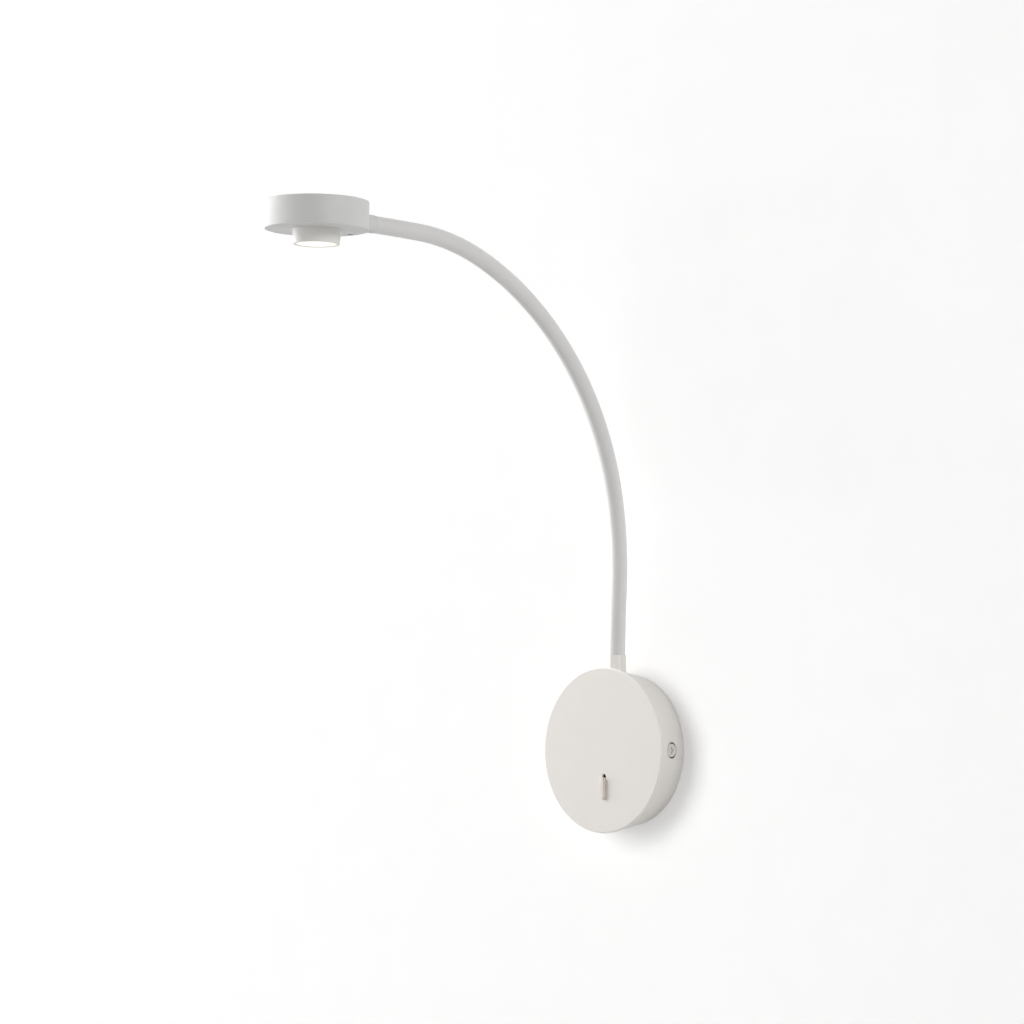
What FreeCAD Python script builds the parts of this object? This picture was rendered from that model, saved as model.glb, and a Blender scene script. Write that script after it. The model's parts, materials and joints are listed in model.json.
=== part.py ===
import FreeCAD, Part
import math
import os

# Bedside wall reading lamp with a flexible arm, in millimetres.
# Origin: centre of the wall bracket's back face, on the wall plane.
# +Z is up, the wall is the plane y = 0, and the lamp stands out towards -Y.

V = FreeCAD.Vector
X_AXIS = V(1, 0, 0)
Y_AXIS = V(0, 1, 0)
Z_AXIS = V(0, 0, 1)

# Base cover: a shallow painted pan, wider at its front than at the wall.
base_front_radius = 55.0
base_back_radius = 50.0
base_depth = 25.0
cover_wall = 1.5
cover_edge_radius = 1.0

# General clearances.
slip_gap = 0.1          # between parts of one body that slide together
fit_gap = 0.05          # radial gap of a screw or stem in its hole
running_gap = 0.15      # per side, round the sliding knob
loose_gap = 0.3         # round a screw head or a post that only has to pass

# Cross recesses, as shares of the screw head that they are cut into.
cross_reach_share = 0.9         # of the head's radius, tip to tip
cross_width_share = 0.36        # of the reach
cross_depth_share = 0.5         # of the head's height

# Wall bracket and its two folded tabs.
bracket_thickness = 1.5
bracket_to_cover_gap = 0.5
tab_thickness = 2.0
tab_inset = 3.5                 # of a tab's outer face from the cover's back edge
tab_half_height = 8.0
tab_depth = 20.5
wall_slot_inset = 9.5           # of a slot's middle from the tab's outer face
wall_slot_length = 9.0
wall_slot_width = 4.5

# Side screws that hold the cover to the tabs.
side_screw_distance = 13.5      # from the wall
side_screw_radius = 2.0
side_screw_head_radius = 4.4
side_screw_head_height = 1.6
side_screw_head_gap = 0.8       # round the head, in its recess
side_screw_head_sink = 0.4      # of the head below the cover's rim
side_screw_tip = 1.5            # beyond the tab
side_pad_half_width = 7.0
tab_to_pad_gap = 0.2

# Cable inlet.
inlet_rim_gap = 15.44           # of its middle from the bracket's edge
inlet_below_deg = 42.5          # of its direction below the horizontal
inlet_hole_radius = 8.0
inlet_bore_radius = 4.5
grommet_flange_radius = 10.0
grommet_flange_thickness = 2.0

# Flexible arm: eight lengths, each a circular arc; positive bends lean away from the wall.
arm_start_y = -11.0
arm_start_depth = 0.2           # below the cover's rim
arm_length_each = 53.47
arm_bends_deg = [-3.5, 11.7, 15.5, 15.3, 14.5, 14.7, 18.8, 1.6]
sleeve_radius = 5.5
sleeve_thickness = 1.0
hose_radial_gap = 0.1
hose_thickness = 1.3
hose_end_gap = 1.7              # each hose length stops this far from a bending point
sleeve_joint_gap = 0.03
wire_radius = 0.9
wire_spacing = 2.6

# Fitting that carries the arm at the base.
stem_radius = 4.95
stem_length = 12.0              # below the arm's start
cup_wall = 0.6
cup_gap = 0.1
cup_floor = 3.0                 # above the arm's start
base_cup_height = 11.0          # above the arm's start
stem_hole_gap = 0.15
nut_height = 3.5
nut_across_flats = 14.0
washer_thickness = 0.8
washer_radius = 8.5
arm_pad_half_width = 9.5
arm_pad_half_depth = 8.5
arm_pad_depth = 5.5             # below the arm's start

# Head: a flat round box with a short nose under it.
head_radius = 32.5
head_height = 18.0
head_wall = 1.6
head_edge_radius = 0.8
head_arm_height = 8.5           # arm's axis above the underside
plate_thickness = 2.0
head_cup_length = 14.0          # out from the head's rim
head_cup_wall = 0.25
head_cup_floor = 1.0            # back from the head's rim
head_stem_radius = 4.0
socket_half_width = 6.5
socket_to_sink_gap = 0.5
stem_to_socket_end = 0.7
socket_top = 14.5
clamp_screw_inset = 4.6         # from the rim
clamp_screw_radius = 2.0
clamp_screw_recess = 0.6
clamp_socket_radius = 1.15
clamp_socket_depth = 1.6

# Nose, light source and optics.
nose_length = 9.3
nose_top_radius = 15.2
nose_tip_radius = 14.5
nose_bore_radius = 13.7
nose_edge_radius = 0.4
collar_flange_radius = 19.0
collar_flange_thickness = 1.5
lens_thickness = 1.4
lens_recess = 0.2               # behind the nose's end
lens_skirt_height = 3.5
lens_skirt_thickness = 0.9
board_radius = 12.5
board_thickness = 1.5
pad_thickness = 0.4
chip_radius = 4.5
chip_thickness = 0.9
reflector_top_radius = 5.0
reflector_wall = 0.6
sink_base_thickness = 2.4
sink_fin_thickness = 1.2
sink_fin_pitch = 3.6
sink_fin_count = 9
sink_top_gap = 0.6              # under the housing's top
sink_fin_root = 0.2             # of each fin into the sink's base
sink_channel_half_width = 3.4
sink_channel_lead = 3.0         # of the channel past the wires' slot
head_wire_slot_y = 9.0
head_wire_bend_radius = 3.0
board_screw_x = 9.0
board_screw_end_gap = 1.0       # under the top of the fins
board_screw_radius = 1.25
board_screw_head_radius = 2.2
board_screw_head_height = 1.2
post_radius = 3.0
sink_screw_ring = 16.8
sink_screw_radius = 1.0
sink_screw_head_radius = 1.7
sink_screw_head_height = 1.0
sink_screw_angles_deg = [20, 160, 270]

# LED driver box behind the cover.
driver_height = 24.0
driver_rim_gap = 4.16           # of its upper corners from the bracket's edge
driver_corner_deg = 45.0        # of their direction above the horizontal
driver_depth = 16.0
driver_wall = 1.5
driver_board_height = 5.0       # above the wall bracket
driver_board_thickness = 1.6
driver_ledge_length = 6.0       # in from the side of the box
driver_ledge_height = 4.5       # in from its top or bottom
driver_screw_inset = 3.5        # from the side of the box
driver_screw_radius = 1.5
driver_screw_head_radius = 2.8
driver_screw_head_height = 1.8
driver_post_radius = 2.9
transformer_size = (16.0, 7.5, 14.0)
transformer_x = 2.0
transformer_edge_radius = 0.8
capacitor_radius = 3.6
capacitor_length = 13.0
capacitor_offset = 6.0          # to the right of the nearer mains wire
capacitor_edge_radius = 0.5

# Terminal block, its left side in line with the driver's.
pole_pitch = 7.0
block_rim_gap = 4.86            # of its lower corner from the bracket's edge
block_height = 16.0
block_depth = 10.0
block_width = 22.0
pole_bore_radius = 1.7
pole_entry = 3.0                # of a wire into its pole
terminal_screw_radius = 1.5
terminal_screw_gap = 0.3        # of the tip from the wire, before it is turned down
terminal_screw_recess = 0.6
terminal_slot_depth = 0.5
terminal_slot_half_width = 0.2
terminal_row_offset = 4.0

# Earth screw under the third pole, and its lug.
earth_screw_rim_gap = 6.42      # of its middle from the bracket's edge
earth_screw_radius = 2.0
earth_screw_head_radius = 3.6
earth_screw_head_height = 2.0
lug_radius = 4.2
lug_thickness = 0.8
lug_tail_length = 2.2
lug_tail_half_width = 1.6
lug_lap = 1.0                   # of the tail into the ring, and of the wire into the tail

# Slide switch on the front.
switch_x = 1.6
slot_top_z = -15.6
slot_length = 17.1
slot_width = 3.6
knob_length = 14.6
knob_stand = 2.2                # in front of the cover
knob_edge_radius = 0.7
knob_rest_gap = 0.2             # to the slot's lower end
knob_flange_thickness = 1.0
switch_body_width = 11.0
switch_body_length = 27.0
switch_body_depth = 9.0
switch_ear_length = 6.0
switch_ear_thickness = 1.5
switch_ear_setback = 3.0        # of the ears behind the cover's front wall
tongue_width = 1.8
tongue_length = 6.0
tongue_depth = 3.2
switch_travel = 2.1
switch_screw_radius = 1.2
switch_screw_head_radius = 2.2
switch_screw_head_height = 1.5
switch_boss_radius = 2.6
switch_terminal_offset = 3.0    # to each side of the switch's middle line
switch_terminal_rise = 4.0      # above the knob's middle

# Inside wiring.
wire_bend_radius = 2.0
wire_exit_y = -10.0             # where wires pass the driver's lower side
wire_into_driver = 4.0          # past its wall
wire_below_driver = 5.0
driver_out_low_x = 17.0
driver_out_high_x = 14.0
wire_behind_switch = 5.0
wire_front_offset = 0.4         # back from half way between the driver and the cover
wire_top_offset = 0.4           # down from half way between the driver and the stem


def rim_radius(y):
    return base_back_radius + (base_front_radius - base_back_radius) * (-y / base_depth)


def below_rim(gap, x):
    # The height, under the middle, at which a point at x keeps this gap to the bracket's edge.
    return -math.sqrt((bracket_radius - gap) ** 2 - x ** 2)


def pole_x(pole):
    return block_centre_x + (pole - 1) * pole_pitch


# Sizes and places worked out from the ones above.
cover_front_y = -base_depth
cover_inside_y = cover_front_y + cover_wall
cover_reach = max(base_front_radius, base_back_radius)
bracket_front_y = -bracket_thickness
bracket_radius = base_back_radius - cover_wall - bracket_to_cover_gap
tab_outer_x = base_back_radius - tab_inset
wall_slot_spacing = 2 * (tab_outer_x - wall_slot_inset)
inlet_x = (bracket_radius - inlet_rim_gap) * math.cos(math.radians(inlet_below_deg))
inlet_z = below_rim(inlet_rim_gap, inlet_x)

slot_bottom_z = slot_top_z - slot_length
knob_bottom_z = slot_bottom_z + knob_rest_gap
knob_middle_z = knob_bottom_z + knob_length / 2
switch_ear_top_z = knob_middle_z + switch_body_length / 2 + switch_ear_length
switch_back_y = cover_inside_y + switch_ear_setback - switch_ear_thickness + switch_body_depth

arm_start_z = rim_radius(arm_start_y) - arm_start_depth
stem_bottom_z = arm_start_z - stem_length
arm_pad_bottom_z = arm_start_z - arm_pad_depth
hose_radius = sleeve_radius - sleeve_thickness - hose_radial_gap
stem_bore_radius = hose_radius - hose_thickness
socket_length = head_radius - head_wall / 2 - collar_flange_radius - socket_to_sink_gap
head_stem_length = socket_length - stem_to_socket_end

driver_half_width = (bracket_radius - driver_rim_gap) * math.cos(math.radians(driver_corner_deg))
driver_top_z = -below_rim(driver_rim_gap, driver_half_width)
driver_bottom_z = driver_top_z - driver_height
driver_middle_z = driver_top_z - driver_height / 2
driver_screw_x = driver_half_width - driver_screw_inset
driver_front_y = bracket_front_y - driver_depth
board_front_y = bracket_front_y - driver_board_height - driver_board_thickness

block_centre_x = block_width / 2 - driver_half_width
block_bottom_z = below_rim(block_rim_gap, driver_half_width)
block_top_z = block_bottom_z + block_height
pole_bore_y = bracket_front_y - block_depth / 2
earth_screw_x = pole_x(2)
earth_screw_z = below_rim(earth_screw_rim_gap, earth_screw_x)
capacitor_x = pole_x(1) + capacitor_offset


def cylinder(radius, start, end):
    direction = end - start
    return Part.makeCylinder(radius, direction.Length, start, direction)


def tube(outer, inner, start, end):
    return cylinder(outer, start, end).cut(cylinder(inner, start, end))


def block(x0, x1, y0, y1, z0, z1):
    return Part.makeBox(x1 - x0, y1 - y0, z1 - z0, V(x0, y0, z0))


def rim_solid(inset, y_back, y_front):
    back = rim_radius(y_back) - inset
    front = rim_radius(y_front) - inset
    return Part.makeCone(back, front, y_back - y_front, V(0, y_back, 0), V(0, -1, 0))


def slot_prism(width, length, x, y0, y1, z_middle):
    # A rod with half-round ends, long along Z, between two planes across Y.
    half = (length - width) / 2
    shape = block(x - width / 2, x + width / 2, y0, y1, z_middle - half, z_middle + half)
    for end in (-half, half):
        shape = shape.fuse(cylinder(width / 2, V(x, y0, z_middle + end), V(x, y1, z_middle + end)))
    return shape.removeSplitter()


def circle_edges(shape, radius, coordinate, value):
    found = []
    for edge in shape.Edges:
        round_edge = isinstance(edge.Curve, Part.Circle) and abs(edge.Curve.Radius - radius) < 1e-6
        if round_edge and abs(getattr(edge.Curve.Center, coordinate) - value) < 1e-6:
            found.append(edge)
    return found


def wire_run(points, radius=wire_radius, bend=wire_bend_radius):
    # A round wire along straight runs joined by tangent arcs.
    edges = []
    start = points[0]
    for before, corner, after in zip(points, points[1:], points[2:]):
        into = (corner - before).normalize()
        out = (after - corner).normalize()
        turn = into.getAngle(out)
        reach = bend * math.tan(turn / 2)
        first = corner - into * reach
        last = corner + out * reach
        inward = (out - into).normalize()
        middle = corner + inward * (bend / math.cos(turn / 2) - bend)
        edges.append(Part.LineSegment(start, first).toShape())
        edges.append(Part.Arc(first, middle, last).toShape())
        start = last
    edges.append(Part.LineSegment(start, points[-1]).toShape())
    profile = Part.Wire(Part.Circle(points[0], points[1] - points[0], radius).toShape())
    return Part.Wire(edges).makePipeShell([profile], True, False)


def save(name, shape):
    solids = shape.Solids
    if not solids or not shape.isValid():
        raise ValueError("bad shape: " + name)
    if len(solids) == 1:
        shape = solids[0]
    shape.exportStep("parts/" + name + ".step")


def arm_stations():
    # Start point, heading from +Z towards -Y, and bend of each length, in order.
    stations = []
    point = V(0, arm_start_y, arm_start_z)
    heading = 0.0
    for bend_deg in arm_bends_deg:
        bend = math.radians(bend_deg)
        stations.append((point, heading, bend))
        chord = arm_length_each * math.sin(bend / 2) / (bend / 2)
        middle = heading + bend / 2
        point = point + V(0, -math.sin(middle), math.cos(middle)) * chord
        heading = heading + bend
    stations.append((point, heading, 0.0))
    return stations


stations = arm_stations()
last_length = len(arm_bends_deg) - 1


def arm_piece(index, outer, inner, start_trim, end_trim, x_offset=0.0):
    # A bent tube (or rod, with no inner radius) on one length of the arm's centre line.
    point, heading, bend = stations[index]
    curve_radius = arm_length_each / bend
    centre = point + V(0, -math.cos(heading), -math.sin(heading)) * curve_radius
    start_turn = bend * start_trim / arm_length_each
    turn = bend * (arm_length_each - start_trim - end_trim) / arm_length_each
    rings = [Part.Wire(Part.Circle(point + V(x_offset, 0, 0), Z_AXIS, outer).toShape())]
    if inner:
        rings.append(Part.Wire(Part.Circle(point + V(x_offset, 0, 0), Z_AXIS, inner).toShape()))
    profile = Part.makeFace(rings, "Part::FaceMakerBullseye")
    profile.rotate(point, X_AXIS, math.degrees(heading))
    profile.rotate(centre, X_AXIS, math.degrees(start_turn))
    spin = V(math.copysign(1, bend), 0, 0)
    return profile.revolve(centre, spin, abs(math.degrees(turn)))


def arm_end_frame(shape):
    # Moves a shape drawn with the head's rim entry at the origin, arm along -Y, to the arm's end.
    point, heading, _ = stations[-1]
    tilt = math.degrees(heading) - 90.0
    shape = shape.copy()
    shape.rotate(V(0, 0, 0), X_AXIS, tilt)
    shape.translate(point)
    return shape


def make_arm():
    for index in range(len(arm_bends_deg)):
        first = index == 0
        last = index == last_length
        sleeve_start = cup_floor + slip_gap if first else sleeve_joint_gap
        sleeve_end = head_cup_floor + slip_gap if last else sleeve_joint_gap
        hose_start = cup_floor + slip_gap if first else hose_end_gap
        hose_end = head_cup_floor + slip_gap if last else hose_end_gap
        sleeve_bore = sleeve_radius - sleeve_thickness
        sleeve = arm_piece(index, sleeve_radius, sleeve_bore, sleeve_start, sleeve_end)
        hose = arm_piece(index, hose_radius, stem_bore_radius, hose_start, hose_end)
        wires = []
        wire_start = 0.0 if first else sleeve_joint_gap
        wire_end = 0.0 if last else sleeve_joint_gap
        for side in (-1, 1):
            wires.append(arm_piece(index, wire_radius, 0, wire_start, wire_end, side * wire_spacing / 2))
        if first:
            for side in (-1, 1):
                low = V(side * wire_spacing / 2, arm_start_y, stem_bottom_z)
                high = V(side * wire_spacing / 2, arm_start_y, arm_start_z)
                wires[(side + 1) // 2] = wires[(side + 1) // 2].fuse(cylinder(wire_radius, low, high))
        save("arm_sleeve_%d" % index, sleeve)
        save("arm_hose_%d" % index, hose)
        save("arm_wires_%d" % index, Part.makeCompound(wires))


def make_arm_base_fitting():
    outer = sleeve_radius + cup_gap + cup_wall
    bottom = V(0, arm_start_y, stem_bottom_z)
    floor = V(0, arm_start_y, arm_start_z + cup_floor)
    top = V(0, arm_start_y, arm_start_z + base_cup_height)
    cup_bottom = V(0, arm_start_y, arm_pad_bottom_z)
    cup = cylinder(outer, cup_bottom, top).cut(rim_solid(-slip_gap / 2, 0, cover_front_y))
    fitting = cup.fuse(cylinder(stem_radius, bottom, floor))
    fitting = fitting.cut(cylinder(sleeve_radius + cup_gap, floor, top))
    fitting = fitting.cut(cylinder(stem_bore_radius, bottom, floor))
    save("arm_base_fitting", fitting.removeSplitter())


def make_arm_nut_and_washer():
    seat = V(0, arm_start_y, arm_pad_bottom_z)
    washer_bottom = seat - Z_AXIS * washer_thickness
    nut_bottom = washer_bottom - Z_AXIS * nut_height
    save("arm_lock_washer", tube(washer_radius, stem_radius + fit_gap, washer_bottom, seat))
    corner = nut_across_flats / math.sqrt(3)
    corners = []
    for step in range(7):
        angle = math.radians(60 * step)
        corners.append(nut_bottom + V(corner * math.cos(angle), corner * math.sin(angle), 0))
    nut = Part.Face(Part.makePolygon(corners)).extrude(Z_AXIS * nut_height)
    save("arm_lock_nut", nut.cut(cylinder(stem_radius + fit_gap, nut_bottom, washer_bottom)))


def side_screw_axis(side, x):
    return V(side * x, -side_screw_distance, 0)


def side_head_floor():
    return rim_radius(-side_screw_distance) - side_screw_head_height - side_screw_head_sink


def switch_screw_heights():
    reach = switch_body_length / 2 + switch_ear_length / 2
    return (knob_middle_z - reach, knob_middle_z + reach)


def make_base_cover():
    outer = rim_solid(0, 0, cover_front_y)
    front_edge = circle_edges(outer, base_front_radius, "y", cover_front_y)
    outer = outer.makeFillet(cover_edge_radius, front_edge)
    cover = outer.cut(rim_solid(cover_wall, 0, cover_inside_y))
    inside = rim_solid(cover_wall / 2, 0, cover_front_y + cover_wall / 2)
    pads = block(-arm_pad_half_width, arm_pad_half_width, arm_start_y - arm_pad_half_depth,
                 arm_start_y + arm_pad_half_depth, arm_pad_bottom_z, cover_reach)
    pad_inner = tab_outer_x + tab_to_pad_gap
    for side in (-1, 1):
        low, high = sorted((side * pad_inner, side * cover_reach))
        pads = pads.fuse(block(low, high, -side_screw_distance - side_pad_half_width,
                               -side_screw_distance + side_pad_half_width,
                               -side_pad_half_width, side_pad_half_width))
    for z in switch_screw_heights():
        boss_end = cover_inside_y + switch_ear_setback
        pads = pads.fuse(cylinder(switch_boss_radius, V(switch_x, boss_end, z),
                                  V(switch_x, cover_front_y + cover_wall / 2, z)))
    cover = cover.fuse(pads.common(inside)).removeSplitter()
    cover = cover.cut(cylinder(stem_radius + stem_hole_gap, V(0, arm_start_y, arm_pad_bottom_z),
                               V(0, arm_start_y, cover_reach)))
    for side in (-1, 1):
        hole_start = side_screw_axis(side, pad_inner)
        floor = side_screw_axis(side, side_head_floor())
        far = side_screw_axis(side, cover_reach)
        cover = cover.cut(cylinder(side_screw_radius + slip_gap, hole_start, far))
        cover = cover.cut(cylinder(side_screw_head_radius + side_screw_head_gap, floor, far))
    cover = cover.cut(slot_prism(slot_width, slot_length, switch_x, cover_front_y, cover_inside_y,
                                 slot_top_z - slot_length / 2))
    for z in switch_screw_heights():
        start = V(switch_x, cover_inside_y + switch_ear_setback, z)
        end = V(switch_x, cover_inside_y, z)
        cover = cover.cut(cylinder(switch_screw_radius + fit_gap, start, end))
    save("base_cover", cover)


def make_wall_bracket():
    plate = cylinder(bracket_radius, V(0, 0, 0), V(0, bracket_front_y, 0))
    for side in (-1, 1):
        low, high = sorted((side * (tab_outer_x - tab_thickness), side * tab_outer_x))
        plate = plate.fuse(block(low, high, -tab_depth, bracket_front_y, -tab_half_height, tab_half_height))
    plate = plate.removeSplitter()
    for side in (-1, 1):
        start = side_screw_axis(side, tab_outer_x - tab_thickness)
        end = side_screw_axis(side, tab_outer_x)
        plate = plate.cut(cylinder(side_screw_radius + fit_gap, start, end))
        middle = side * wall_slot_spacing / 2
        half = (wall_slot_length - wall_slot_width) / 2
        slot_radius = wall_slot_width / 2
        slot = block(middle - half, middle + half, bracket_front_y, 0, -slot_radius, slot_radius)
        for end_x in (middle - half, middle + half):
            slot = slot.fuse(cylinder(slot_radius, V(end_x, 0, 0), V(end_x, bracket_front_y, 0)))
        plate = plate.cut(slot)
        plate = plate.cut(cylinder(driver_screw_radius + fit_gap, V(side * driver_screw_x, 0, driver_middle_z),
                                   V(side * driver_screw_x, bracket_front_y, driver_middle_z)))
    plate = plate.cut(cylinder(inlet_hole_radius, V(inlet_x, 0, inlet_z), V(inlet_x, bracket_front_y, inlet_z)))
    plate = plate.cut(cylinder(earth_screw_radius + fit_gap, V(earth_screw_x, 0, earth_screw_z),
                               V(earth_screw_x, bracket_front_y, earth_screw_z)))
    save("wall_bracket", plate)


def make_side_screws():
    screws = []
    for side in (-1, 1):
        tip = side_screw_axis(side, tab_outer_x - tab_thickness - side_screw_tip)
        floor = side_screw_axis(side, side_head_floor())
        top = side_screw_axis(side, side_head_floor() + side_screw_head_height)
        screw = cylinder(side_screw_radius, tip, floor).fuse(cylinder(side_screw_head_radius, floor, top))
        screw = screw.cut(cross_recess(top, X_AXIS * side, side_screw_head_radius, side_screw_head_height))
        screws.append(screw)
    save("cover_side_screws", Part.makeCompound(screws))


def cross_recess(face_point, outward, head_radius_here, head_height_here):
    # A plain cross to cut into the top of a screw head.
    reach = head_radius_here * cross_reach_share
    width = reach * cross_width_share
    depth = head_height_here * cross_depth_share
    bars = []
    for size in ((reach, width), (width, reach)):
        bar = block(-size[0] / 2, size[0] / 2, -size[1] / 2, size[1] / 2, -depth, depth)
        bars.append(bar)
    cross = bars[0].fuse(bars[1])
    cross.Placement = FreeCAD.Placement(face_point, FreeCAD.Rotation(Z_AXIS, outward))
    return cross


def make_grommet():
    back = V(inlet_x, 0, inlet_z)
    seat = V(inlet_x, bracket_front_y, inlet_z)
    front = V(inlet_x, bracket_front_y - grommet_flange_thickness, inlet_z)
    neck = cylinder(inlet_hole_radius - fit_gap, back, seat)
    flange = cylinder(grommet_flange_radius, seat, front)
    bore = cylinder(inlet_bore_radius, back, front)
    save("cable_grommet", neck.fuse(flange).cut(bore).removeSplitter())


def make_terminal_block():
    front = bracket_front_y - block_depth
    body = block(block_centre_x - block_width / 2, block_centre_x + block_width / 2, front, bracket_front_y,
                 block_bottom_z, block_top_z)
    slot = block(-terminal_screw_radius, terminal_screw_radius, 0, terminal_slot_depth,
                 -terminal_slot_half_width, terminal_slot_half_width)
    tip_y = pole_bore_y - wire_radius - terminal_screw_gap
    screws = []
    for pole in range(3):
        body = body.cut(cylinder(pole_bore_radius, V(pole_x(pole), pole_bore_y, block_bottom_z),
                                 V(pole_x(pole), pole_bore_y, block_top_z)))
        for row in (-1, 1):
            z = block_bottom_z + block_height / 2 + row * terminal_row_offset
            mouth = V(pole_x(pole), front, z)
            head = mouth + Y_AXIS * terminal_screw_recess
            body = body.cut(cylinder(terminal_screw_radius + fit_gap, mouth, V(pole_x(pole), pole_bore_y, z)))
            screw = cylinder(terminal_screw_radius, head, V(pole_x(pole), tip_y, z))
            screws.append(screw.cut(slot.translated(head)))
    save("terminal_block", body)
    save("terminal_screws", Part.makeCompound(screws))


def make_earth_screw():
    seat_y = bracket_front_y - lug_thickness
    shank_end = V(earth_screw_x, 0, earth_screw_z)
    seat = V(earth_screw_x, seat_y, earth_screw_z)
    head_top = V(earth_screw_x, seat_y - earth_screw_head_height, earth_screw_z)
    screw = cylinder(earth_screw_radius, shank_end, seat)
    screw = screw.fuse(cylinder(earth_screw_head_radius, seat, head_top))
    recess = cross_recess(head_top, -Y_AXIS, earth_screw_head_radius, earth_screw_head_height)
    save("earth_screw", screw.cut(recess))


def make_earth_wire():
    lug_front_y = bracket_front_y - lug_thickness
    lug = tube(lug_radius, earth_screw_radius + fit_gap, V(earth_screw_x, bracket_front_y, earth_screw_z),
               V(earth_screw_x, lug_front_y, earth_screw_z))
    ring_top_z = earth_screw_z + lug_radius
    tail_z = ring_top_z + lug_tail_length
    lug = lug.fuse(block(earth_screw_x - lug_tail_half_width, earth_screw_x + lug_tail_half_width, lug_front_y,
                         bracket_front_y, ring_top_z - lug_lap, tail_z))
    landing = V(earth_screw_x, bracket_front_y - lug_thickness / 2, tail_z - lug_lap)
    top = V(pole_x(2), pole_bore_y, block_bottom_z + pole_entry)
    wire = wire_run([top, V(earth_screw_x, pole_bore_y, landing.z), landing])
    save("earth_wire", lug.fuse(wire).removeSplitter())


def make_driver():
    lid_back = driver_front_y + driver_wall
    inside_bottom = driver_bottom_z + driver_wall
    inside_top = driver_top_z - driver_wall
    inside_half = driver_half_width - driver_wall
    case = block(-driver_half_width, driver_half_width, lid_back, bracket_front_y, driver_bottom_z, driver_top_z)
    case = case.cut(block(-inside_half, inside_half, lid_back, bracket_front_y - driver_wall, inside_bottom,
                          inside_top))
    lid = block(-driver_half_width, driver_half_width, driver_front_y, lid_back, driver_bottom_z, driver_top_z)
    board = block(-inside_half + slip_gap, inside_half - slip_gap, board_front_y,
                  board_front_y + driver_board_thickness, inside_bottom + slip_gap, inside_top - slip_gap)
    ledge_y = bracket_front_y - driver_board_height
    screws = []
    for side in (-1, 1):
        back = V(side * driver_screw_x, bracket_front_y, driver_middle_z)
        wall_end = V(side * driver_screw_x, 0, driver_middle_z)
        lid_face = V(side * driver_screw_x, lid_back, driver_middle_z)
        seat = V(side * driver_screw_x, driver_front_y, driver_middle_z)
        head_top = seat - Y_AXIS * driver_screw_head_height
        case = case.fuse(cylinder(driver_post_radius, back, lid_face))
        ledge_x0, ledge_x1 = sorted((side * inside_half, side * (driver_half_width - driver_ledge_length)))
        for z0, z1 in ((inside_bottom, driver_bottom_z + driver_ledge_height),
                       (driver_top_z - driver_ledge_height, inside_top)):
            case = case.fuse(block(ledge_x0, ledge_x1, ledge_y, bracket_front_y - driver_wall / 2, z0, z1))
        case = case.removeSplitter().cut(cylinder(driver_screw_radius + slip_gap, back, lid_face))
        lid = lid.cut(cylinder(driver_screw_radius + slip_gap, lid_face, seat))
        board = board.cut(cylinder(driver_post_radius + slip_gap, back, lid_face))
        screw = cylinder(driver_screw_radius, wall_end, seat)
        screw = screw.fuse(cylinder(driver_screw_head_radius, seat, head_top))
        recess = cross_recess(head_top, -Y_AXIS, driver_screw_head_radius, driver_screw_head_height)
        screws.append(screw.cut(recess))
    for x in (pole_x(0), pole_x(1), driver_out_low_x):
        case = case.cut(cylinder(wire_radius + slip_gap, V(x, wire_exit_y, driver_bottom_z),
                                 V(x, wire_exit_y, inside_bottom)))
    case = case.cut(cylinder(wire_radius + slip_gap, V(driver_out_high_x, arm_start_y, inside_top),
                             V(driver_out_high_x, arm_start_y, driver_top_z)))
    save("driver_case", case)
    save("driver_lid", lid)
    save("driver_board", board)
    save("driver_screws", Part.makeCompound(screws))
    width, depth, height = transformer_size
    core = block(transformer_x - width / 2, transformer_x + width / 2, board_front_y - depth, board_front_y,
                 driver_middle_z - height / 2, driver_middle_z + height / 2)
    save("driver_transformer", core.makeFillet(transformer_edge_radius, core.Edges))
    low = V(capacitor_x, board_front_y - capacitor_radius, driver_middle_z - capacitor_length / 2)
    capacitor = cylinder(capacitor_radius, low, low + Z_AXIS * capacitor_length)
    save("driver_capacitor", capacitor.makeFillet(capacitor_edge_radius, capacitor.Edges))


def make_mains_wires():
    wires = []
    inside_z = driver_bottom_z + driver_wall + wire_into_driver
    rise = (driver_bottom_z - block_top_z) / 4
    for x in (pole_x(0), pole_x(1)):
        points = [V(x, pole_bore_y, block_top_z - pole_entry), V(x, pole_bore_y, block_top_z + rise),
                  V(x, wire_exit_y, driver_bottom_z - rise), V(x, wire_exit_y, inside_z),
                  V(x, board_front_y, inside_z)]
        wires.append(wire_run(points))
    save("mains_wires", Part.makeCompound(wires))


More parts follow.
